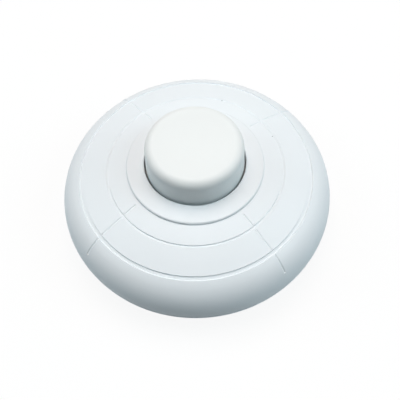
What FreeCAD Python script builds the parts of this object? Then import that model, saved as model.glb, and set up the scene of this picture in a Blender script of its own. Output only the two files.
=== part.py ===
import FreeCAD
import Part

import math
import os

from FreeCAD import Vector

# Lamp foot switch for a flat two-core cord. A domed round housing in two shells holds a push button
# that turns an indexing rotor; the rotor's bronze bridge joins or parts the two live terminals.
# Sizes are in millimetres. The origin is the middle of the footprint on the floor, +Z is up,
# and the cord would run along X, in at one end and out at the other.

# Housing shells
BODY_DIAMETER = 65.0
RIM_RADIUS = 8.65           # rounding of the rim, seen in section
RIM_UNDERCUT = 0.05         # how far below the floor the rim's rounding would end if drawn on
SHOULDER_SLOPE = 20.0       # degrees, where the dome runs into the rim, in the outer ring groove
WALL = 2.0
FLOOR_GAP = 1.0             # air under the base, made by the rubber feet
FLOOR_THICKNESS = 1.8
PARTING_HEIGHT = 7.4        # where the two shells meet
PARTING_CHAMFER = 0.45
BASE_EDGE_ROUNDING = 0.8
LIP_HEIGHT = 1.5
LIP_THICKNESS = 1.0
LIP_CLEARANCE = 0.2

# Collar and moulded grooves on the dome
COLLAR_RADIUS = 16.05
COLLAR_HEIGHT = 0.6
COLLAR_ROUNDING = 0.45
HOLE_EDGE_ROUNDING = 0.25
INNER_GROOVE_RADIUS = 20.37 # of its inner edge; the outer ring groove's inner wall stands on the shoulder
INNER_GROOVE_WIDTH = 0.6
OUTER_GROOVE_WIDTH = 1.0
RING_GROOVE_DEPTH = 0.32
RING_WALL_RUN = 0.12        # along the skin, from a ring groove's edge to the foot of its steep wall
INNER_SLOPE_RUN = 0.35      # along the skin, of the inner ring groove's gentler outer wall
SPOKE_GROOVE_WIDTH = 0.5
SPOKE_GROOVE_DEPTH = 0.2
CROSSING_REACH = 1.1        # from the middle of a crossing to the tips of the pit that eases its corners
CROSSING_DEPTH = 0.25
SPOKE_COUNT = 4
SPOKE_TURN = 45.0           # degrees from X to the first spoke groove
SPOKE_START_RADIUS = 17.2
SPOKE_END_LEAN = 59.0       # degrees from upright to the skin's normal where a spoke ends

# Push button
BUTTON_RADIUS = 11.4
BUTTON_DRAFT = 2.0          # degrees, above the collar
BUTTON_PROTRUSION = 6.9     # above the collar, to the top's edge
BUTTON_CROWN = 0.4
BUTTON_EDGE_ROUNDING = 2.0
BUTTON_WALL = 1.6
BUTTON_TOP_THICKNESS = 2.0
BUTTON_GAP = 0.4
BUTTON_TRAVEL = 4.0
SLEEVE_LENGTH = 4.0
SLEEVE_WALL = 1.6
FLANGE_WIDTH = 1.7
FLANGE_THICKNESS = 1.2
STOP_GAP = 0.05
RIB_WIDTH = 2.0
RIB_CLEARANCE = 0.2

# Rotor, its bridge and the drive teeth
POST_RADIUS = 2.0
POST_SHOULDER_RADIUS = 3.4
POST_STANDOUT = 1.0
RUNNING_CLEARANCE = 0.05
HUB_RADIUS = 3.2
HUB_STANDOUT = 1.5
BOSS_SQUARE = 4.8
BOSS_DROP = 0.8
ROTOR_DISC_RADIUS = 8.4
ROTOR_DISC_THICKNESS = 1.5
CAM_HEIGHT = 2.0
CAM_MARGIN = 0.2
CROWN_INNER_RADIUS = 5.2
CROWN_OUTER_RADIUS = 7.4
TOOTH_COUNT = 8
FINGER_COUNT = 4
FINGER_ANGLE = 11.0         # degrees
FINGER_MARGIN = 1.0         # degrees left beside a tooth's upright face
FINGER_CLEARANCE = 0.15
FINGER_INSET = 0.2
PLUNGER_CLEARANCE = 0.4
BRIDGE_THICKNESS = 0.5
BRIDGE_ARM_WIDTH = 3.0
BRIDGE_TURN = 45.0          # degrees from the contacts to the arms while the switch is off
CONTACT_RADIUS = 9.2
CONTACT_GAP = 0.05
TIP_THICKNESS = 0.5
BRIDGE_TIP_RADIUS = 1.2
FIXED_TIP_RADIUS = 1.4

# Springs
SPRING_MEAN_RADIUS = 4.3
SPRING_WIRE = 0.8
SPRING_TURNS = 8
SPRING_STEPS = 8            # points a turn
SPRING_SEAT_GAP = 0.05
LEAF_THICKNESS = 0.4
LEAF_HEIGHT = 1.4
LEAF_LENGTH = 24.0
LEAF_CLEARANCE = 0.05
LEAF_POST_SIZE = 2.4

# Terminals and their screws
PEDESTAL_HEIGHT = 1.4
STRIP_THICKNESS = 0.8
STRIP_HALF_WIDTH = 2.0
TERMINAL_TO_CLAMP = 8.0
LIVE_Y = 3.8
NEUTRAL_Y = -12.6
PAD_HALF = 2.8
LINK_HALF_WIDTH = 1.5
TERMINAL_SCREW_RADIUS = 1.5
TERMINAL_SCREW_HEAD = 2.5
TERMINAL_SCREW_DEPTH = 2.0

# Cord inlets and clamps
INLET_WIDTH = 6.4
INLET_ROUNDING = 1.4
CLAMP_SETBACK = 9.1         # from the rim to a clamp's middle
CLAMP_LENGTH = 5.4
CLAMP_THICKNESS = 2.2
CLAMP_SPAN = 6.2            # from the cord's middle to a clamp screw
CLAMP_END = 2.5
CLAMP_POST_RADIUS = 2.2
CLAMP_POST_HEIGHT = 3.2
CLAMP_TOOTH = 0.7
CLAMP_SCREW_RADIUS = 1.2
CLAMP_SCREW_HEAD = 2.2
CLAMP_SCREW_DEPTH = 2.6

# Housing screws, from below
HOUSING_SCREW_SETBACK = 9.3 # from the rim to a screw
HOUSING_SCREW_TURN = 70.0   # degrees from X to the screws
HOUSING_SCREW_RADIUS = 1.4
HOUSING_SCREW_HEAD = 2.6
HOUSING_SCREW_REACH = 5.0
STANDOFF_RADIUS = 4.0
STANDOFF_RISE = 0.6         # above the parting plane
COUNTERBORE_DEPTH = 2.6
BOSS_RADIUS = 3.0
SCREW_HEAD_HEIGHT = 1.7
SCREW_CLEARANCE = 0.05
HEAD_CLEARANCE = 0.3
DRIVE_WIDTH = 0.7
DRIVE_DEPTH = 0.9
CROSS_SHARE = 0.62          # of the head's radius, taken by a cross recess

# Rubber feet
FOOT_SETBACK = 11.5         # from the rim to a foot's middle
FOOT_RADIUS = 4.2
FOOT_RECESS = 0.9
FOOT_CLEARANCE = 0.1
FOOT_ROUNDING = 0.5

# Heights and radii that follow from the sizes above
AXIS = Vector(0, 0, 1)
ORIGIN = Vector(0, 0, 0)
OVERCUT = 1.0
EMBED = 0.3
MATCH = 1e-3                # sizes this close are the same
SPIRAL_STEPS = 4
body_radius = BODY_DIAMETER / 2
slope = math.radians(SHOULDER_SLOPE)
rim_centre = body_radius - RIM_RADIUS
rim_height = RIM_RADIUS - RIM_UNDERCUT     # of the widest point
shoulder_radius = rim_centre + RIM_RADIUS * math.sin(slope)
shoulder_height = rim_height + RIM_RADIUS * math.cos(slope)
dome_radius = shoulder_radius / math.sin(slope)
dome_centre = shoulder_height - dome_radius * math.cos(slope)
dome_middle = Vector(0, 0, dome_centre)
rim_middle = Vector(rim_centre, 0, rim_height)
floor_top = FLOOR_GAP + FLOOR_THICKNESS
hole_radius = BUTTON_RADIUS + BUTTON_GAP
collar_top = dome_centre + math.sqrt((dome_radius + COLLAR_HEIGHT) ** 2 - hole_radius ** 2)
sleeve_end = collar_top - SLEEVE_LENGTH
sleeve_radius = hole_radius + SLEEVE_WALL
flange_top = sleeve_end - STOP_GAP
flange_bottom = flange_top - FLANGE_THICKNESS
flange_radius = BUTTON_RADIUS + FLANGE_WIDTH
button_edge = collar_top + BUTTON_PROTRUSION
button_ceiling = button_edge + BUTTON_CROWN - BUTTON_TOP_THICKNESS
strip_bottom = floor_top + PEDESTAL_HEIGHT
strip_top = strip_bottom + STRIP_THICKNESS
fixed_tip_top = strip_top + TIP_THICKNESS
bridge_tip_bottom = fixed_tip_top + CONTACT_GAP
bridge_bottom = bridge_tip_bottom + TIP_THICKNESS
bridge_top = bridge_bottom + BRIDGE_THICKNESS
shoulder_top = bridge_bottom - BOSS_DROP - RUNNING_CLEARANCE
disc_top = bridge_top + ROTOR_DISC_THICKNESS
cam_top = disc_top + CAM_HEIGHT
cam_flat = CROWN_OUTER_RADIUS + CAM_MARGIN
tooth_pitch = 360.0 / TOOTH_COUNT
drive_angle = tooth_pitch - FINGER_ANGLE - 2 * FINGER_MARGIN
tooth_height = BUTTON_TRAVEL * tooth_pitch / drive_angle
crest = cam_top + tooth_height
plunger_end = crest + BUTTON_TRAVEL + PLUNGER_CLEARANCE
hub_top = cam_top + HUB_STANDOUT
post_top = hub_top + POST_STANDOUT
leaf_face = cam_flat + LEAF_CLEARANCE
leaf_bottom = disc_top + (CAM_HEIGHT - LEAF_HEIGHT) / 2
leaf_post_x = LEAF_LENGTH / 2 - LEAF_POST_SIZE / 2
clamp_x = body_radius - CLAMP_SETBACK
terminal_x = clamp_x - TERMINAL_TO_CLAMP
screw_circle = body_radius - HOUSING_SCREW_SETBACK
foot_circle = body_radius - FOOT_SETBACK
clamp_bottom = floor_top + CLAMP_POST_HEIGHT
clamp_top = clamp_bottom + CLAMP_THICKNESS
standoff_top = PARTING_HEIGHT + STANDOFF_RISE


# Small shape helpers

def at(angle, radius, height=0.0):
    """Point at an angle in degrees round Z."""
    turn = math.radians(angle)
    return Vector(radius * math.cos(turn), radius * math.sin(turn), height)


def outline(start, *steps):
    """Closed wire in the XZ plane through (r, z) points. A step is an end, or (middle, end) of an arc."""
    first = Vector(start[0], 0, start[1])
    here = first
    edges = []
    for step in steps:
        is_arc = isinstance(step[0], tuple)
        end_pair = step[1] if is_arc else step
        end = Vector(end_pair[0], 0, end_pair[1])
        if is_arc:
            middle = Vector(step[0][0], 0, step[0][1])
            edges.append(Part.Arc(here, middle, end).toShape())
        else:
            edges.append(Part.makeLine(here, end))
        here = end
    edges.append(Part.makeLine(here, first))
    return Part.Wire(edges)


def turned(wire):
    """Solid of revolution round Z."""
    return Part.Face(wire).revolve(ORIGIN, AXIS, 360)


def rod(radius, bottom, top, x=0.0, y=0.0):
    return Part.makeCylinder(radius, top - bottom, Vector(x, y, bottom))


def tube(inner, outer, bottom, top):
    return rod(outer, bottom, top).cut(rod(inner, bottom - OVERCUT, top + OVERCUT))


def block(x_low, x_high, y_low, y_high, bottom, top):
    corner = Vector(x_low, y_low, bottom)
    return Part.makeBox(x_high - x_low, y_high - y_low, top - bottom, corner)


def spun(shape, angle):
    return shape.rotated(ORIGIN, AXIS, angle)


def joined(first, *others):
    """One clean solid from shapes that overlap or share faces."""
    return first.fuse(list(others)).removeSplitter()


def rounded(shape, radius, edge_radius, height):
    """Fillets the circular edges of that radius and height."""
    edges = []
    for edge in shape.Edges:
        if edge.Degenerated or not isinstance(edge.Curve, Part.Circle):
            continue
        same_size = abs(edge.Curve.Radius - edge_radius) < MATCH
        if same_size and abs(edge.Curve.Center.z - height) < MATCH:
            edges.append(edge)
    return shape.makeFillet(radius, edges)


def spike(point, corners):
    """Pointed solid from a point to a flat ring of corners."""
    faces = [Part.Face(Part.makePolygon(corners + corners[:1]))]
    for i, corner in enumerate(corners):
        faces.append(Part.Face(Part.makePolygon([point, corners[i - 1], corner, point])))
    return Part.makeSolid(Part.makeShell(faces))


def spiral_block(inner, outer, start, stop, bottom, top):
    """Block between two radii and two angles, in degrees; bottom and top give the height at an angle."""
    sections = []
    for step in range(SPIRAL_STEPS + 1):
        angle = start + (stop - start) * step / SPIRAL_STEPS
        corners = [at(angle, inner, bottom(angle)), at(angle, outer, bottom(angle)),
                   at(angle, outer, top(angle)), at(angle, inner, top(angle))]
        sections.append(Part.makePolygon(corners + corners[:1]))
    return Part.makeLoft(sections, True, True)


def screw(shank, head, tip, head_bottom, head_top, x, y, cross):
    """Cheese-head screw with its point at tip, upright or hanging, slotted or with a cross recess."""
    outward = 1 if head_top > tip else -1
    low, high = sorted((tip, head_bottom))
    shape = joined(rod(shank, low, high, x, y), rod(head, *sorted((head_bottom, head_top)), x, y))
    floor = head_top - outward * DRIVE_DEPTH
    low, high = sorted((floor, head_top + outward * OVERCUT))
    half = DRIVE_WIDTH / 2
    reach = head * CROSS_SHARE if cross else head + OVERCUT
    shape = shape.cut(block(x - reach, x + reach, y - half, y + half, low, high))
    if cross:
        shape = shape.cut(block(x - half, x + half, y - reach, y + reach, low, high))
    return shape


# The housing's skin

def rim_at(height, inset=0.0):
    """Radius of the rim at a height, on the skin or inset from it."""
    return rim_centre + math.sqrt((RIM_RADIUS - inset) ** 2 - (height - rim_height) ** 2)


def on_rim(lean, offset=0.0):
    """Point (r, z) of the rim where the skin's normal leans that many radians from upright."""
    reach = RIM_RADIUS + offset
    return rim_centre + reach * math.sin(lean), rim_height + reach * math.cos(lean)


def on_dome(lean, offset=0.0):
    reach = dome_radius + offset
    return reach * math.sin(lean), dome_centre + reach * math.cos(lean)


def dome_lean(radius, offset=0.0):
    return math.asin(radius / (dome_radius + offset))


def rim_lean(height, inset=0.0):
    return math.acos((height - rim_height) / (RIM_RADIUS - inset))


def screw_places():
    """Centres (x, y) of the housing screws, mirrored about both axes."""
    place = at(HOUSING_SCREW_TURN, screw_circle)
    return [(sx * place.x, sy * place.y) for sx in (1, -1) for sy in (1, -1)]


def foot_places():
    """Node names and centres of the feet."""
    names = ("right", "rear", "left", "front")
    return [(name, at(90 * i, foot_circle)) for i, name in enumerate(names)]


def terminal_places():
    return [(side * terminal_x, y) for side in (1, -1) for y in (LIVE_Y, NEUTRAL_Y)]


def clamp_places():
    return [(side * clamp_x, y) for side in (1, -1) for y in (CLAMP_SPAN, -CLAMP_SPAN)]


# Top cover

def edge_round(radius, rounding, side):
    """Points of a rounding between the collar's top and an upright wall; side is +1 outside, -1 inside."""
    middle_radius = radius - side * rounding
    reach = dome_radius + COLLAR_HEIGHT - rounding
    lean = math.asin(middle_radius / reach)
    height = dome_centre + reach * math.cos(lean)
    turn = (lean + side * math.pi / 2) / 2
    middle = (middle_radius + rounding * math.sin(turn), height + rounding * math.cos(turn))
    return (radius, height), middle, on_dome(lean, COLLAR_HEIGHT), lean


def cover_shell():
    """Dome, rim, ring grooves, collar and the sleeve round the button, turned in one piece."""
    chamfer_top = PARTING_HEIGHT + PARTING_CHAMFER
    rim_low = rim_lean(chamfer_top)
    rim_high = slope + (OUTER_GROOVE_WIDTH - RING_WALL_RUN) / RIM_RADIUS
    rim_floor = rim_high - RING_WALL_RUN / RIM_RADIUS
    dome_end = slope - RING_WALL_RUN / dome_radius
    groove_start = dome_lean(INNER_GROOVE_RADIUS)
    groove_stop = groove_start + INNER_GROOVE_WIDTH / dome_radius
    wall_foot = groove_start + RING_WALL_RUN / dome_radius
    slope_foot = groove_stop - INNER_SLOPE_RUN / dome_radius
    collar_foot = dome_lean(COLLAR_RADIUS)
    collar_wall, collar_bend, collar_rim, collar_lean = edge_round(COLLAR_RADIUS, COLLAR_ROUNDING, 1)
    hole_wall, hole_bend, hole_rim, hole_lean = edge_round(hole_radius, HOLE_EDGE_ROUNDING, -1)
    inner_low = rim_lean(PARTING_HEIGHT, WALL)
    sleeve_root = dome_lean(sleeve_radius, -WALL)
    return turned(outline(
        (rim_at(PARTING_HEIGHT) - PARTING_CHAMFER, PARTING_HEIGHT),
        (rim_at(chamfer_top), chamfer_top),
        (on_rim((rim_low + rim_high) / 2), on_rim(rim_high)),
        on_rim(rim_floor, -RING_GROOVE_DEPTH),
        (on_rim((rim_floor + slope) / 2, -RING_GROOVE_DEPTH), on_rim(slope, -RING_GROOVE_DEPTH)),
        on_dome(dome_end),
        (on_dome((dome_end + groove_stop) / 2), on_dome(groove_stop)),
        on_dome(slope_foot, -RING_GROOVE_DEPTH),
        (on_dome((slope_foot + wall_foot) / 2, -RING_GROOVE_DEPTH), on_dome(wall_foot, -RING_GROOVE_DEPTH)),
        on_dome(groove_start),
        (on_dome((groove_start + collar_foot) / 2), on_dome(collar_foot)),
        collar_wall,
        (collar_bend, collar_rim),
        (on_dome((collar_lean + hole_lean) / 2, COLLAR_HEIGHT), hole_rim),
        (hole_bend, hole_wall),
        (hole_radius, sleeve_end),
        (sleeve_radius, sleeve_end),
        on_dome(sleeve_root, -WALL),
        (on_dome((sleeve_root + slope) / 2, -WALL), on_dome(slope, -WALL)),
        (on_rim((slope + inner_low) / 2, -WALL), on_rim(inner_low, -WALL)),
    ))


def cover_core():
    """Filled form of the cover up to the middle of its wall, to root the bosses in."""
    inset = WALL / 2
    low = rim_lean(PARTING_HEIGHT, inset)
    return turned(outline(
        (0, PARTING_HEIGHT),
        on_rim(low, -inset),
        (on_rim((low + slope) / 2, -inset), on_rim(slope, -inset)),
        (on_dome(slope / 2, -inset), on_dome(0, -inset)),
    ))


def upright_at(middle, lean, reach, aside=0.0):
    """Point at a reach from the middle of a round skin, where its normal has that lean, and to one side."""
    return middle + Vector(reach * math.sin(lean), aside, reach * math.cos(lean))


def groove_corners(middle, radius, lean):
    """Bottom and upper corners of a spoke groove's V section, drawn on past the skin."""
    top = radius + EMBED
    half = SPOKE_GROOVE_WIDTH / 2 * (SPOKE_GROOVE_DEPTH + EMBED) / SPOKE_GROOVE_DEPTH
    bottom = upright_at(middle, lean, radius - SPOKE_GROOVE_DEPTH)
    return bottom, upright_at(middle, lean, top, half), upright_at(middle, lean, top, -half)


def groove_run(middle, radius, start, stop):
    """V-shaped bar along a round skin, between two leans."""
    corners = groove_corners(middle, radius, start)
    section = Part.makePolygon([*corners, corners[0]])
    return Part.Face(section).revolve(middle, Vector(0, 1, 0), math.degrees(stop - start))


def groove_end(middle, radius, lean, side):
    """Point that tapers off the start (side -1) or the end (side 1) of a groove."""
    bottom, left, right = groove_corners(middle, radius, lean)
    top = radius + EMBED
    tip_lean = lean + side * (left.y - right.y) / 2 / top
    return spike(bottom, [left, upright_at(middle, tip_lean, top), right])


def crossing_pit(middle, radius, lean):
    """Shallow four-sided pit that eases the corners of the fields where two grooves cross."""
    reach = CROSSING_REACH * (CROSSING_DEPTH + EMBED) / CROSSING_DEPTH
    top = upright_at(middle, lean, radius + EMBED)
    along = Vector(math.cos(lean), 0, -math.sin(lean)) * reach
    across = Vector(0, reach, 0)
    point = upright_at(middle, lean, radius - CROSSING_DEPTH)
    return spike(point, [top + along, top + across, top - along, top - across])


def spoke_groove(angle):
    """Cutters of one radial groove down the dome and over the rim, with its two crossings."""
    start, end = dome_lean(SPOKE_START_RADIUS), math.radians(SPOKE_END_LEAN)
    groove = joined(
        groove_run(dome_middle, dome_radius, start, slope),
        groove_run(rim_middle, RIM_RADIUS, slope, end),
        groove_end(dome_middle, dome_radius, start, -1),
        groove_end(rim_middle, RIM_RADIUS, end, 1),
    )
    inner_lean = dome_lean(INNER_GROOVE_RADIUS + INNER_GROOVE_WIDTH / 2)
    outer_lean = slope + (OUTER_GROOVE_WIDTH / 2 - RING_WALL_RUN) / RIM_RADIUS
    inner_pit = crossing_pit(dome_middle, dome_radius, inner_lean)
    outer_pit = crossing_pit(rim_middle, RIM_RADIUS, outer_lean)
    return [spun(shape, angle) for shape in (groove, inner_pit, outer_pit)]


def top_cover():
    core = cover_core()
    rib_bottom = flange_bottom - BUTTON_TRAVEL - RIB_CLEARANCE
    rib = block(hole_radius + RIB_CLEARANCE, sleeve_radius, -RIB_WIDTH / 2, RIB_WIDTH / 2,
                rib_bottom, sleeve_end + EMBED)
    bosses = [rod(BOSS_RADIUS, standoff_top, collar_top, x, y).common(core) for x, y in screw_places()]
    shell = joined(cover_shell(), spun(rib, 90), spun(rib, 270), *bosses)
    pilot = HOUSING_SCREW_RADIUS + SCREW_CLEARANCE
    pilot_top = standoff_top + HOUSING_SCREW_REACH + SCREW_CLEARANCE
    shell = shell.cut([rod(pilot, standoff_top - OVERCUT, pilot_top, x, y) for x, y in screw_places()])
    for i in range(SPOKE_COUNT):
        shell = shell.cut(spoke_groove(SPOKE_TURN + i * 360.0 / SPOKE_COUNT))
    return shell


# Base shell

def base_bowl():
    """Lower shell of the rim with its floor and the lip that enters the cover, turned in one piece."""
    chamfer_bottom = PARTING_HEIGHT - PARTING_CHAMFER
    low, high = rim_lean(FLOOR_GAP), rim_lean(chamfer_bottom)
    lip_radius = rim_at(PARTING_HEIGHT, WALL) - LIP_CLEARANCE
    lip_inner = lip_radius - LIP_THICKNESS
    lip_top = PARTING_HEIGHT + LIP_HEIGHT
    lip_lean = math.pi - math.asin((lip_inner - rim_centre) / (RIM_RADIUS - WALL))
    floor_lean = rim_lean(floor_top, WALL)
    shape = turned(outline(
        (0, FLOOR_GAP),
        (rim_at(FLOOR_GAP), FLOOR_GAP),
        (on_rim((low + high) / 2), on_rim(high)),
        (rim_at(PARTING_HEIGHT) - PARTING_CHAMFER, PARTING_HEIGHT),
        (lip_radius, PARTING_HEIGHT),
        (lip_radius, lip_top),
        (lip_inner, lip_top),
        on_rim(lip_lean, -WALL),
        (on_rim((lip_lean + floor_lean) / 2, -WALL), on_rim(floor_lean, -WALL)),
        (0, floor_top),
    ))
    return rounded(shape, BASE_EDGE_ROUNDING, rim_at(FLOOR_GAP), FLOOR_GAP)


def live_outline(side, bottom, top):
    """Plan of a live terminal: a contact tongue and a screw pad."""
    tongue_end = CONTACT_RADIUS - STRIP_HALF_WIDTH
    pad_start = terminal_x - PAD_HALF
    tongue = sorted((side * tongue_end, side * (terminal_x + PAD_HALF)))
    pad = sorted((side * pad_start, side * (terminal_x + PAD_HALF)))
    return joined(
        block(*tongue, -STRIP_HALF_WIDTH, STRIP_HALF_WIDTH, bottom, top),
        block(*pad, -STRIP_HALF_WIDTH, LIVE_Y + PAD_HALF, bottom, top),
    )


def neutral_outline(bottom, top):
    """Plan of the neutral link: a bar with a screw pad at each end."""
    reach = terminal_x + PAD_HALF
    bar = block(-reach, reach, NEUTRAL_Y - LINK_HALF_WIDTH, NEUTRAL_Y + LINK_HALF_WIDTH, bottom, top)
    pads = []
    for side in (1, -1):
        ends = sorted((side * reach, side * (reach - 2 * PAD_HALF)))
        pads.append(block(*ends, NEUTRAL_Y - PAD_HALF, NEUTRAL_Y + PAD_HALF, bottom, top))
    return joined(bar, *pads)


def inlet(side):
    """Notch that lets the cord in under the cover's edge, rounded at its two lower corners."""
    near, far = rim_at(floor_top, WALL) - WALL, body_radius + OVERCUT
    half = INLET_WIDTH / 2
    top = PARTING_HEIGHT + LIP_HEIGHT + OVERCUT
    notch = block(*sorted((side * near, side * far)), -half, half, floor_top, top)
    corners = []
    for edge in notch.Edges:
        box = edge.BoundBox
        if box.XLength > OVERCUT and abs(box.ZMax - floor_top) < MATCH:
            corners.append(edge)
    return notch.makeFillet(INLET_ROUNDING, corners)


def leaf_posts():
    """Slotted posts that hold the ends of the detent leaves."""
    half = LEAF_POST_SIZE / 2
    middle = leaf_face + LEAF_THICKNESS / 2
    top = leaf_bottom + LEAF_HEIGHT
    slot_half = LEAF_THICKNESS / 2 + LEAF_CLEARANCE
    posts = []
    for x in (leaf_post_x, -leaf_post_x):
        for side in (1, -1):
            y = side * middle
            post = block(x - half, x + half, y - half, y + half, floor_top - EMBED, top)
            slot = block(x - LEAF_POST_SIZE, x + LEAF_POST_SIZE, y - slot_half, y + slot_half,
                         leaf_bottom - LEAF_CLEARANCE, top + OVERCUT)
            posts.append(post.cut(slot))
    return posts


def base_shell():
    sunk = floor_top - EMBED
    shape = base_bowl()
    raised = [rod(POST_SHOULDER_RADIUS, sunk, shoulder_top), rod(POST_RADIUS, sunk, post_top)]
    raised += [live_outline(side, sunk, strip_bottom) for side in (1, -1)]
    raised.append(neutral_outline(sunk, strip_bottom))
    raised += [rod(CLAMP_POST_RADIUS, sunk, clamp_bottom, x, y) for x, y in clamp_places()]
    raised += [rod(STANDOFF_RADIUS, sunk, standoff_top, x, y) for x, y in screw_places()]
    for side in (1, -1):
        x = side * clamp_x
        half = INLET_WIDTH / 2
        raised.append(block(x - CLAMP_TOOTH, x + CLAMP_TOOTH, -half, half, sunk, floor_top + CLAMP_TOOTH))
    shape = joined(shape, *raised, *leaf_posts())
    cuts = [inlet(1), inlet(-1)]
    depth = strip_bottom - TERMINAL_SCREW_DEPTH - SCREW_CLEARANCE
    hole = TERMINAL_SCREW_RADIUS + SCREW_CLEARANCE
    cuts += [rod(hole, depth, strip_top, x, y) for x, y in terminal_places()]
    depth = clamp_bottom - CLAMP_SCREW_DEPTH - SCREW_CLEARANCE
    hole = CLAMP_SCREW_RADIUS + SCREW_CLEARANCE
    cuts += [rod(hole, depth, clamp_top, x, y) for x, y in clamp_places()]
    bore_top = FLOOR_GAP + COUNTERBORE_DEPTH
    for x, y in screw_places():
        cuts.append(rod(HOUSING_SCREW_RADIUS + SCREW_CLEARANCE, 0, standoff_top + OVERCUT, x, y))
        cuts.append(rod(HOUSING_SCREW_HEAD + HEAD_CLEARANCE, 0, bore_top, x, y))
    for name, place in foot_places():
        cuts.append(rod(FOOT_RADIUS + FOOT_CLEARANCE, 0, FLOOR_GAP + FOOT_RECESS, place.x, place.y))
    return shape.cut(cuts)


# Button, rotor and springs

def finger_bottom(angle):
    """Height of a drive finger's slanting end at an angle."""
    share = (angle % tooth_pitch) / tooth_pitch
    return cam_top + tooth_height * share + FINGER_CLEARANCE


def push_button():
    lean = math.tan(math.radians(BUTTON_DRAFT))
    top_radius = BUTTON_RADIUS - lean * BUTTON_PROTRUSION
    inner, inner_top = BUTTON_RADIUS - BUTTON_WALL, top_radius - BUTTON_WALL
    crown_radius = (top_radius ** 2 + BUTTON_CROWN ** 2) / (2 * BUTTON_CROWN)
    half_way = top_radius / 2
    half_height = button_edge + BUTTON_CROWN - crown_radius + math.sqrt(crown_radius ** 2 - half_way ** 2)
    outside = turned(outline(
        (0, flange_bottom),
        (flange_radius, flange_bottom),
        (flange_radius, flange_top),
        (BUTTON_RADIUS, flange_top),
        (BUTTON_RADIUS, collar_top),
        (top_radius, button_edge),
        ((half_way, half_height), (0, button_edge + BUTTON_CROWN)),
    ))
    outside = rounded(outside, BUTTON_EDGE_ROUNDING, top_radius, button_edge)
    inside = turned(outline(
        (0, flange_bottom - OVERCUT),
        (inner, flange_bottom - OVERCUT),
        (inner, collar_top),
        (inner_top, button_ceiling),
        (0, button_ceiling),
    ))
    shape = outside.cut(inside)
    embedded = button_ceiling + EMBED
    plunger = tube(CROWN_INNER_RADIUS, CROWN_OUTER_RADIUS, plunger_end, embedded)
    fingers = []
    for i in range(FINGER_COUNT):
        stop = i * 360.0 / FINGER_COUNT + tooth_pitch - FINGER_MARGIN
        fingers.append(spiral_block(CROWN_INNER_RADIUS + FINGER_INSET, CROWN_OUTER_RADIUS - FINGER_INSET,
                                    stop - FINGER_ANGLE, stop, finger_bottom,
                                    lambda angle: plunger_end + EMBED))
    shape = joined(shape, plunger, *fingers)
    half = RIB_WIDTH / 2 + RIB_CLEARANCE
    keyway = block(hole_radius - RIB_CLEARANCE, flange_radius + OVERCUT, -half, half,
                   flange_bottom - OVERCUT, flange_top + OVERCUT)
    return shape.cut([spun(keyway, 90), spun(keyway, 270)])


def tooth_top(angle):
    """Height of a rotor tooth's slope, rising with the angle from its root."""
    return cam_top + tooth_height * angle / tooth_pitch


def index_rotor():
    corner = cam_flat / math.cos(math.pi / TOOTH_COUNT)
    corners = [at(tooth_pitch * (i + 0.5), corner, disc_top - EMBED) for i in range(TOOTH_COUNT + 1)]
    cam = Part.Face(Part.makePolygon(corners)).extrude(Vector(0, 0, cam_top - disc_top + EMBED))
    tooth = spiral_block(CROWN_INNER_RADIUS, CROWN_OUTER_RADIUS, 0.0, tooth_pitch,
                         lambda angle: cam_top - EMBED, tooth_top)
    teeth = [spun(tooth, tooth_pitch * i) for i in range(TOOTH_COUNT)]
    half = BOSS_SQUARE / 2
    boss = block(-half, half, -half, half, bridge_bottom - BOSS_DROP, bridge_top + EMBED)
    boss = spun(boss, BRIDGE_TURN)
    hub = rod(HUB_RADIUS, bridge_top, hub_top)
    disc = rod(ROTOR_DISC_RADIUS, bridge_top, disc_top)
    shape = joined(disc, cam, hub, boss, *teeth)
    return shape.cut(rod(POST_RADIUS + RUNNING_CLEARANCE, floor_top, crest))


def contact_bridge():
    half = BRIDGE_ARM_WIDTH / 2
    arms = []
    for angle in (0, 90):
        arm = block(-CONTACT_RADIUS, CONTACT_RADIUS, -half, half, bridge_bottom, bridge_top)
        ends = [rod(half, bridge_bottom, bridge_top, x) for x in (CONTACT_RADIUS, -CONTACT_RADIUS)]
        arms.append(spun(joined(arm, *ends), angle))
    hub_plate = rod(HUB_RADIUS + BRIDGE_ARM_WIDTH / 2, bridge_bottom, bridge_top)
    side = BOSS_SQUARE / 2 + RUNNING_CLEARANCE
    shape = joined(arms[0], arms[1], hub_plate)
    shape = shape.cut(block(-side, side, -side, side, bridge_bottom - OVERCUT, bridge_top + OVERCUT))
    return spun(shape, BRIDGE_TURN)


def bridge_contact_tips():
    tips = []
    for angle in (0, 90, 180, 270):
        place = at(BRIDGE_TURN + angle, CONTACT_RADIUS)
        tips.append(rod(BRIDGE_TIP_RADIUS, bridge_tip_bottom, bridge_bottom, place.x, place.y))
    return Part.makeCompound(tips)


def return_spring():
    """Coil between the rotor's seat and the button's ceiling, its end coils closed up."""
    low = cam_top + SPRING_SEAT_GAP + SPRING_WIRE / 2
    rise = button_ceiling - SPRING_SEAT_GAP - SPRING_WIRE / 2 - low
    closed = SPRING_WIRE + SPRING_SEAT_GAP
    pitch = (rise - 2 * closed) / (SPRING_TURNS - 2)
    points = []
    for step in range(SPRING_TURNS * SPRING_STEPS + 1):
        turn = step / SPRING_STEPS
        ends = min(turn, 1) + max(turn - SPRING_TURNS + 1, 0)
        height = low + closed * ends + pitch * (turn - ends)
        points.append(at(360.0 * turn, SPRING_MEAN_RADIUS, height))
    path = Part.BSplineCurve()
    path.interpolate(points)
    start = path.FirstParameter
    section = Part.Wire([Part.makeCircle(SPRING_WIRE / 2, points[0], path.tangent(start)[0])])
    return Part.Wire([path.toShape()]).makePipeShell([section], True, True)


def detent_leaf(side):
    ends = sorted((side * leaf_face, side * (leaf_face + LEAF_THICKNESS)))
    return block(-LEAF_LENGTH / 2, LEAF_LENGTH / 2, *ends, leaf_bottom, leaf_bottom + LEAF_HEIGHT)


# Terminals, clamps, screws and feet

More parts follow.
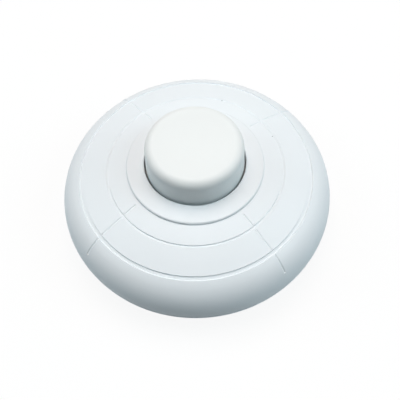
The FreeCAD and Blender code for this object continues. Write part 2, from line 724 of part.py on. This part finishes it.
def live_terminal(side):
    hole = TERMINAL_SCREW_RADIUS + SCREW_CLEARANCE
    shape = live_outline(side, strip_bottom, strip_top)
    return shape.cut(rod(hole, strip_bottom - OVERCUT, strip_top + OVERCUT, side * terminal_x, LIVE_Y))


def neutral_link():
    hole = TERMINAL_SCREW_RADIUS + SCREW_CLEARANCE
    holes = []
    for side in (1, -1):
        holes.append(rod(hole, strip_bottom - OVERCUT, strip_top + OVERCUT, side * terminal_x, NEUTRAL_Y))
    return neutral_outline(strip_bottom, strip_top).cut(holes)


def fixed_contact_tips():
    return Part.makeCompound([rod(FIXED_TIP_RADIUS, strip_top, fixed_tip_top, side * CONTACT_RADIUS)
                              for side in (1, -1)])


def terminal_screws():
    tip = strip_bottom - TERMINAL_SCREW_DEPTH
    head_top = strip_top + SCREW_HEAD_HEIGHT
    sizes = (TERMINAL_SCREW_RADIUS, TERMINAL_SCREW_HEAD, tip, strip_top, head_top)
    return Part.makeCompound([screw(*sizes, x, y, False) for x, y in terminal_places()])


def cord_clamp(side):
    """Bar across the cord with gripping teeth underneath."""
    x = side * clamp_x
    half, end = CLAMP_LENGTH / 2, CLAMP_SPAN + CLAMP_END
    shape = block(x - half, x + half, -end, end, clamp_bottom, clamp_top)
    teeth = []
    for step in (-1, 1):
        middle = x + step * half / 2
        low, high = middle - CLAMP_TOOTH / 2, middle + CLAMP_TOOTH / 2
        teeth.append(block(low, high, -INLET_WIDTH / 2, INLET_WIDTH / 2,
                           clamp_bottom - CLAMP_TOOTH, clamp_bottom + EMBED))
    shape = joined(shape, *teeth)
    hole = CLAMP_SCREW_RADIUS + SCREW_CLEARANCE
    return shape.cut([rod(hole, clamp_bottom - OVERCUT, clamp_top + OVERCUT, x, y)
                      for y in (CLAMP_SPAN, -CLAMP_SPAN)])


def clamp_screws():
    tip = clamp_bottom - CLAMP_SCREW_DEPTH
    head_top = clamp_top + SCREW_HEAD_HEIGHT
    sizes = (CLAMP_SCREW_RADIUS, CLAMP_SCREW_HEAD, tip, clamp_top, head_top)
    return Part.makeCompound([screw(*sizes, x, y, True) for x, y in clamp_places()])


def housing_screws():
    seat = FLOOR_GAP + COUNTERBORE_DEPTH
    tip = standoff_top + HOUSING_SCREW_REACH
    sizes = (HOUSING_SCREW_RADIUS, HOUSING_SCREW_HEAD, tip, seat, seat - SCREW_HEAD_HEIGHT)
    return Part.makeCompound([screw(*sizes, x, y, True) for x, y in screw_places()])


def rubber_foot(place):
    shape = rod(FOOT_RADIUS, 0, FLOOR_GAP + FOOT_RECESS, place.x, place.y)
    return rounded(shape, FOOT_ROUNDING, FOOT_RADIUS, 0)


def main():
    parts = {
        "top_cover": top_cover(),
        "base_shell": base_shell(),
        "push_button": push_button(),
        "return_spring": return_spring(),
        "index_rotor": index_rotor(),
        "contact_bridge": contact_bridge(),
        "bridge_contact_tips": bridge_contact_tips(),
        "live_in_terminal": live_terminal(1),
        "live_out_terminal": live_terminal(-1),
        "fixed_contact_tips": fixed_contact_tips(),
        "neutral_link": neutral_link(),
        "terminal_screws": terminal_screws(),
        "cord_clamp_right": cord_clamp(1),
        "cord_clamp_left": cord_clamp(-1),
        "clamp_screws": clamp_screws(),
        "housing_screws": housing_screws(),
        "detent_leaf_rear": detent_leaf(1),
        "detent_leaf_front": detent_leaf(-1),
    }
    for name, place in foot_places():
        parts["rubber_foot_" + name] = rubber_foot(place)
    os.makedirs("parts", exist_ok=True)
    for name, shape in parts.items():
        shape.exportStep("parts/" + name + ".step")


main()
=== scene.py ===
import math
from typing import NamedTuple

import bpy
from mathutils import Matrix, Vector


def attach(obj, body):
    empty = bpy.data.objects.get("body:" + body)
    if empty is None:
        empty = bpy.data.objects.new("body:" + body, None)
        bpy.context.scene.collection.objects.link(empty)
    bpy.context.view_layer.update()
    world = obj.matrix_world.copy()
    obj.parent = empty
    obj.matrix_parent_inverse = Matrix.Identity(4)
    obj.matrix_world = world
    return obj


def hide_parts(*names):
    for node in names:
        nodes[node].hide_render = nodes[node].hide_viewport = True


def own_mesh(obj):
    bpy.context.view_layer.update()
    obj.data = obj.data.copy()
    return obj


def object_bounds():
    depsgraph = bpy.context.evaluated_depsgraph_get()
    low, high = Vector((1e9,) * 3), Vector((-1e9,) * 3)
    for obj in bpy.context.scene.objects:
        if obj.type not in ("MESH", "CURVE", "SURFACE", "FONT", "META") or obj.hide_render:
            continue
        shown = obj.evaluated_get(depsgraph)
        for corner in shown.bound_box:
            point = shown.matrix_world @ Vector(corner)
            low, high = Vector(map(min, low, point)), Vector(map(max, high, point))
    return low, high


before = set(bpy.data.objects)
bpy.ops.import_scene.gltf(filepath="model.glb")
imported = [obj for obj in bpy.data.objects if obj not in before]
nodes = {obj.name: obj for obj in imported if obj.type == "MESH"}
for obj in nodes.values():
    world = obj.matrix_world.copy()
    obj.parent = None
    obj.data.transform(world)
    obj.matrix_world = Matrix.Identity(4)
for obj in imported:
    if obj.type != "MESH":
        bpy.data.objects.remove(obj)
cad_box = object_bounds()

# Lamp foot switch: the imported solids carry every shape; this script gives them their plastics, metals
# and rubber, hangs a copy of the return spring on the housing, and sets the camera and a soft studio
# light.
# Lengths are in metres, angles in degrees.

# Camera, as fitted to the ring grooves
CAMERA_AZIMUTH = 9.2
CAMERA_ELEVATION = 56.83
CAMERA_ROLL = -3.22
CAMERA_DISTANCE = 0.143
IMAGE_SIZE = 400.0
FOCAL_PIXELS = 616.0
AXIS_PIXEL = (195.1, 163.3)        # where the button's axis passes the collar
AIM_HEIGHT = 0.0199                # of that point
SENSOR_WIDTH = 36.0                # millimetres, as the camera states it
CLIP_START = 0.005

# Floor and surroundings
FLOOR_SIZE = 3.0
FLOOR_HEIGHT = -0.00002            # a hair under the feet
FLOOR_COLOUR = (0.33, 0.37, 0.39)  # as it throws light back at the switch
FLOOR_SHOWN = (0.95, 0.95, 0.95)   # as it is seen
FLOOR_GLOW = 0.90                  # share of plain white in what is seen; the rest takes the shadow
FLOOR_FADE = (0.10, 0.45)          # distances from the switch between which the floor turns all white
AMBIENT_COLOUR = (0.70, 0.90, 1.0)
AMBIENT_STRENGTH = 0.02
PLAIN_WHITE = (1.0, 1.0, 1.0)

# Lamps: a place is an angle round the switch, counted from behind it towards the left, and a lean from
# overhead
LAMP_DISTANCE = 0.9
LAMP_SIZE = 0.6
KEY_PLACE = (0.0, 15.0)
KEY_COLOUR = (1.0, 0.87, 0.81)
KEY_POWER = 5.95
LEFT_PLACE = (82.0, 50.0)
RIGHT_PLACE = (-98.0, 50.0)
SIDE_COLOUR = (0.74, 0.93, 1.0)
LEFT_POWER = 3.25
RIGHT_POWER = 4.2

# Plastics
HOUSING_WHITE = (0.80, 0.835, 0.86)
BUTTON_WHITE = (0.80, 0.82, 0.815)
ROTOR_CREAM = (0.74, 0.70, 0.58)
CLAMP_GREY = (0.60, 0.61, 0.60)
PLASTIC_ROUGHNESS = 0.45
INNER_ROUGHNESS = 0.5
PLASTIC_GLOSS = 0.3                # specular level, under a polished plastic's

# Metals and rubber
SPRING_STEEL = (0.50, 0.51, 0.53)
SPRING_ROUGHNESS = 0.28
ZINC_GREY = (0.62, 0.63, 0.64)
ZINC_ROUGHNESS = 0.35
BRASS_YELLOW = (0.72, 0.53, 0.22)
BRASS_ROUGHNESS = 0.3
BRONZE_BROWN = (0.60, 0.34, 0.16)
BRONZE_ROUGHNESS = 0.32
SILVER_WHITE = (0.78, 0.78, 0.76)
SILVER_ROUGHNESS = 0.3
RUBBER_BLACK = (0.02, 0.02, 0.021)
RUBBER_ROUGHNESS = 0.75

# Specks of dirt on the dome, by their place in plan
SPECK_PLACES = ((0.00445, 0.0202), (0.0175, 0.0101))
SPECK_RADIUS = 0.00018
SPECK_GREY = (0.33, 0.35, 0.36)

# Ways a surface's fine lines run, as scales of its noise along X, Y and Z
EVEN = (1.0, 1.0, 1.0)
ALONG_X = (0.1, 1.0, 1.0)
ALONG_Z = (1.0, 1.0, 0.1)

NOISE_DETAIL = 3.0
NOISE_MIDDLE = (0.3, 0.7)          # where most of a noise's values lie
MIX_FIRST, MIX_SECOND = 6, 7       # a Mix node's colour inputs
MIX_RESULT = 2                     # its colour output


class Finish(NamedTuple):
    patch: float           # size of the patches of shade
    patch_shade: float     # brightness of a dark patch
    sheen_patch: float     # size of the patches of roughness
    sheen_spread: float    # how far roughness strays either way
    grain: float           # size of the surface grain
    relief: float          # its depth


PLASTIC = Finish(patch=0.012, patch_shade=0.985, sheen_patch=0.004, sheen_spread=0.03,
                 grain=0.00035, relief=0.000006)
METAL = Finish(patch=0.003, patch_shade=0.9, sheen_patch=0.0006, sheen_spread=0.08,
               grain=0.0003, relief=0.000004)
RUBBER = Finish(patch=0.002, patch_shade=0.7, sheen_patch=0.001, sheen_spread=0.10,
                grain=0.0002, relief=0.00002)


# Materials

class Graph:
    """A node tree, with short ways to add to it."""

    def __init__(self, tree):
        self.tree = tree

    def node(self, kind, **settings):
        made = self.tree.nodes.new(kind)
        for key, value in settings.items():
            setattr(made, key, value)
        return made

    def link(self, output, target):
        self.tree.links.new(output, target)

    def object_place(self):
        return self.node("ShaderNodeTexCoord").outputs["Object"]

    def spread(self, factor, low, high, start, stop):
        """Maps start..stop to low..high, and holds the ends beyond."""
        ranged = self.node("ShaderNodeMapRange")
        ranged.inputs["From Min"].default_value = start
        ranged.inputs["From Max"].default_value = stop
        ranged.inputs["To Min"].default_value = low
        ranged.inputs["To Max"].default_value = high
        self.link(factor, ranged.inputs["Value"])
        return ranged.outputs["Result"]

    def mix(self, factor, first, second):
        """Colour mix; first and second are colours or sockets."""
        made = self.node("ShaderNodeMix", data_type="RGBA")
        self.link(factor, made.inputs["Factor"])
        for index, value in ((MIX_FIRST, first), (MIX_SECOND, second)):
            if isinstance(value, tuple):
                made.inputs[index].default_value = (*value, 1.0)
            else:
                self.link(value, made.inputs[index])
        return made.outputs[MIX_RESULT]

    def mix_shaders(self, factor, first, second):
        made = self.node("ShaderNodeMixShader")
        self.link(factor, made.inputs["Fac"])
        self.link(first.outputs[0], made.inputs[1])
        self.link(second.outputs[0], made.inputs[2])
        return made.outputs[0]

    def math(self, operation, first, second):
        made = self.node("ShaderNodeMath", operation=operation)
        self.link(first, made.inputs[0])
        self.link(second, made.inputs[1])
        return made.outputs[0]

    def shown_rays(self):
        """1 for rays that show the backdrop itself: seen direct, mirrored or through glass."""
        paths = self.node("ShaderNodeLightPath")
        shown = paths.outputs["Is Camera Ray"]
        for name in ("Is Glossy Ray", "Is Transmission Ray"):
            shown = self.math("MAXIMUM", shown, paths.outputs[name])
        return shown


class Shader(Graph):
    """A Principled material with detail laid out in object space."""

    def __init__(self, name, colour, roughness, metallic):
        self.material = bpy.data.materials.new(name)
        self.material.use_nodes = True
        super().__init__(self.material.node_tree)
        self.bsdf = self.tree.nodes["Principled BSDF"]
        self.shade = colour
        self.roughness = roughness
        self.bsdf.inputs["Base Color"].default_value = (*colour, 1.0)
        self.bsdf.inputs["Roughness"].default_value = roughness
        self.bsdf.inputs["Metallic"].default_value = metallic
        self.place = self.object_place()

    def noise(self, grain, lines):
        """Noise whose features are about grain metres across, drawn out along lines."""
        mapping = self.node("ShaderNodeMapping")
        mapping.inputs["Scale"].default_value = lines
        self.link(self.place, mapping.inputs["Vector"])
        texture = self.node("ShaderNodeTexNoise")
        texture.inputs["Scale"].default_value = 1.0 / grain
        texture.inputs["Detail"].default_value = NOISE_DETAIL
        self.link(mapping.outputs["Vector"], texture.inputs["Vector"])
        return texture.outputs["Fac"]

    def set_shade(self, shade):
        self.shade = shade
        self.link(shade, self.bsdf.inputs["Base Color"])

    def mottle(self, patch, darker):
        """Faint change of shade over the surface."""
        dark = tuple(channel * darker for channel in self.shade)
        lightness = self.spread(self.noise(patch, EVEN), 0.0, 1.0, *NOISE_MIDDLE)
        self.set_shade(self.mix(lightness, dark, self.shade))

    def speck(self, place, radius, colour):
        """Spot with a soft edge."""
        away = self.node("ShaderNodeVectorMath", operation="DISTANCE")
        away.inputs[1].default_value = place
        self.link(self.place, away.inputs[0])
        cover = self.spread(away.outputs["Value"], 1.0, 0.0, radius / 2, radius)
        self.set_shade(self.mix(cover, self.shade, colour))

    def vary_roughness(self, patch, stray, lines):
        low, high = self.roughness - stray, self.roughness + stray
        rough = self.spread(self.noise(patch, lines), low, high, *NOISE_MIDDLE)
        self.link(rough, self.bsdf.inputs["Roughness"])

    def bump(self, grain, depth, lines):
        bump = self.node("ShaderNodeBump")
        bump.inputs["Strength"].default_value = 1.0
        bump.inputs["Distance"].default_value = depth
        self.link(self.noise(grain, lines), bump.inputs["Height"])
        self.link(bump.outputs["Normal"], self.bsdf.inputs["Normal"])


def finished(name, colour, roughness, finish, metallic=0.0, lines=EVEN):
    shader = Shader(name, colour, roughness, metallic)
    shader.mottle(finish.patch, finish.patch_shade)
    shader.vary_roughness(finish.sheen_patch, finish.sheen_spread, lines)
    shader.bump(finish.grain, finish.relief, lines)
    return shader


def moulded_plastic(name, colour, roughness, specks=()):
    shader = finished(name, colour, roughness, PLASTIC)
    shader.bsdf.inputs["Specular IOR Level"].default_value = PLASTIC_GLOSS
    for place in specks:
        shader.speck(place, SPECK_RADIUS, SPECK_GREY)
    return shader.material


def metal(name, colour, roughness, lines):
    """Drawn, rolled or turned metal with fine lines along one way."""
    return finished(name, colour, roughness, METAL, 1.0, lines).material


def rubber(name, colour):
    return finished(name, colour, RUBBER_ROUGHNESS, RUBBER).material


def give(material, *names):
    """Puts one material on the named solids."""
    for name in names:
        slots = nodes[name].data.materials
        slots.clear()
        slots.append(material)


def on_cover(x, y):
    """Point of the cover's outer skin at a place in plan."""
    above = Vector((x, y, 2 * cad_box[1][2]))
    return nodes["top_cover"].ray_cast(above, Vector((0.0, 0.0, -1.0)))[1]


def dress():
    specks = [on_cover(x, y) for x, y in SPECK_PLACES]
    feet = [name for name in nodes if name.startswith("rubber_foot")]
    give(moulded_plastic("cover_white", HOUSING_WHITE, PLASTIC_ROUGHNESS, specks), "top_cover")
    give(moulded_plastic("base_white", HOUSING_WHITE, PLASTIC_ROUGHNESS), "base_shell")
    give(moulded_plastic("button_white", BUTTON_WHITE, PLASTIC_ROUGHNESS), "push_button")
    give(moulded_plastic("rotor_nylon", ROTOR_CREAM, INNER_ROUGHNESS), "index_rotor")
    give(moulded_plastic("clamp_grey", CLAMP_GREY, INNER_ROUGHNESS), "cord_clamp_right", "cord_clamp_left")
    give(metal("spring_steel", SPRING_STEEL, SPRING_ROUGHNESS, ALONG_X),
         "return_spring", "detent_leaf_rear", "detent_leaf_front")
    give(metal("zinc_plate", ZINC_GREY, ZINC_ROUGHNESS, ALONG_Z),
         "terminal_screws", "clamp_screws", "housing_screws")
    give(metal("brass", BRASS_YELLOW, BRASS_ROUGHNESS, ALONG_X),
         "live_in_terminal", "live_out_terminal", "neutral_link")
    give(metal("bronze", BRONZE_BROWN, BRONZE_ROUGHNESS, ALONG_X), "contact_bridge")
    give(metal("silver", SILVER_WHITE, SILVER_ROUGHNESS, ALONG_X),
         "bridge_contact_tips", "fixed_contact_tips")
    give(rubber("foot_rubber", RUBBER_BLACK), *feet)


# Return spring

def add_spring():
    """A copy of the spring solid's mesh, hung on the housing in place of the solid, which is hidden."""
    solid = nodes["return_spring"]
    coil = bpy.data.objects.new("return_spring_coil", solid.data.copy())
    bpy.context.scene.collection.objects.link(coil)
    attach(coil, "housing")
    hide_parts("return_spring")
    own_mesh(coil)


# Camera

def set_camera():
    azimuth, elevation = math.radians(CAMERA_AZIMUTH), math.radians(CAMERA_ELEVATION)
    back = Vector((math.sin(azimuth) * math.cos(elevation), -math.cos(azimuth) * math.cos(elevation),
                   math.sin(elevation)))
    data = bpy.data.cameras.new("camera")
    data.sensor_width = SENSOR_WIDTH
    data.lens = SENSOR_WIDTH * FOCAL_PIXELS / IMAGE_SIZE
    data.shift_x = 0.5 - AXIS_PIXEL[0] / IMAGE_SIZE
    data.shift_y = AXIS_PIXEL[1] / IMAGE_SIZE - 0.5
    data.clip_start = CLIP_START
    camera = bpy.data.objects.new("camera", data)
    turn = back.to_track_quat("Z", "Y").to_matrix().to_4x4()
    roll = Matrix.Rotation(math.radians(CAMERA_ROLL), 4, "Z")
    target = Vector((0.0, 0.0, AIM_HEIGHT))
    camera.matrix_world = Matrix.Translation(target + back * CAMERA_DISTANCE) @ turn @ roll
    bpy.context.scene.collection.objects.link(camera)
    bpy.context.scene.camera = camera


# Stage and light

def floor_material():
    """Pale ground that takes the shadow near the switch and is plain white further off."""
    material = bpy.data.materials.new("floor")
    material.use_nodes = True
    graph = Graph(material.node_tree)
    graph.tree.nodes.remove(graph.tree.nodes["Principled BSDF"])
    shown = graph.shown_rays()
    diffuse = graph.node("ShaderNodeBsdfDiffuse")
    graph.link(graph.mix(shown, FLOOR_COLOUR, FLOOR_SHOWN), diffuse.inputs["Color"])
    glow = graph.node("ShaderNodeEmission")
    glow.inputs["Strength"].default_value = 1.0
    away = graph.node("ShaderNodeVectorMath", operation="LENGTH")
    graph.link(graph.object_place(), away.inputs[0])
    whiteness = graph.spread(away.outputs["Value"], FLOOR_GLOW, 1.0, *FLOOR_FADE)
    surface = graph.mix_shaders(graph.math("MULTIPLY", whiteness, shown), diffuse, glow)
    graph.link(surface, graph.tree.nodes["Material Output"].inputs["Surface"])
    return material


def add_floor():
    half = FLOOR_SIZE / 2
    outline = ((-half, -half), (half, -half), (half, half), (-half, half))
    mesh = bpy.data.meshes.new("floor")
    mesh.from_pydata([(x, y, FLOOR_HEIGHT) for x, y in outline], [], [(0, 1, 2, 3)])
    mesh.materials.append(floor_material())
    floor = bpy.data.objects.new("floor", mesh)
    bpy.context.scene.collection.objects.link(floor)


def set_world():
    """Faint ambient light, with plain white where the surroundings themselves show."""
    world = bpy.data.worlds.new("studio")
    bpy.context.scene.world = world
    world.use_nodes = True
    graph = Graph(world.node_tree)
    ambient = graph.tree.nodes["Background"]
    ambient.inputs["Color"].default_value = (*AMBIENT_COLOUR, 1.0)
    ambient.inputs["Strength"].default_value = AMBIENT_STRENGTH
    white = graph.node("ShaderNodeBackground")
    white.inputs["Color"].default_value = (*PLAIN_WHITE, 1.0)
    surface = graph.mix_shaders(graph.shown_rays(), ambient, white)
    graph.link(surface, graph.tree.nodes["World Output"].inputs["Surface"])


def add_lamp(name, place, power, colour):
    """Square soft box aimed at the switch, placed as the camera sees it."""
    data = bpy.data.lights.new(name, "AREA")
    data.size = LAMP_SIZE
    data.energy = power
    data.color = colour
    lamp = bpy.data.objects.new(name, data)
    around, lean = place
    turn, tilt = math.radians(around + CAMERA_AZIMUTH), math.radians(lean)
    away = Vector((-math.sin(tilt) * math.sin(turn), math.sin(tilt) * math.cos(turn), math.cos(tilt)))
    aim = away.to_track_quat("Z", "Y").to_matrix().to_4x4()
    lamp.matrix_world = Matrix.Translation(away * LAMP_DISTANCE) @ aim
    bpy.context.scene.collection.objects.link(lamp)


dress()
add_spring()
set_camera()
add_floor()
set_world()
add_lamp("key", KEY_PLACE, KEY_POWER, KEY_COLOUR)
add_lamp("left", LEFT_PLACE, LEFT_POWER, SIDE_COLOUR)
add_lamp("right", RIGHT_PLACE, RIGHT_POWER, SIDE_COLOUR)
bpy.context.scene.view_settings.view_transform = "Standard"
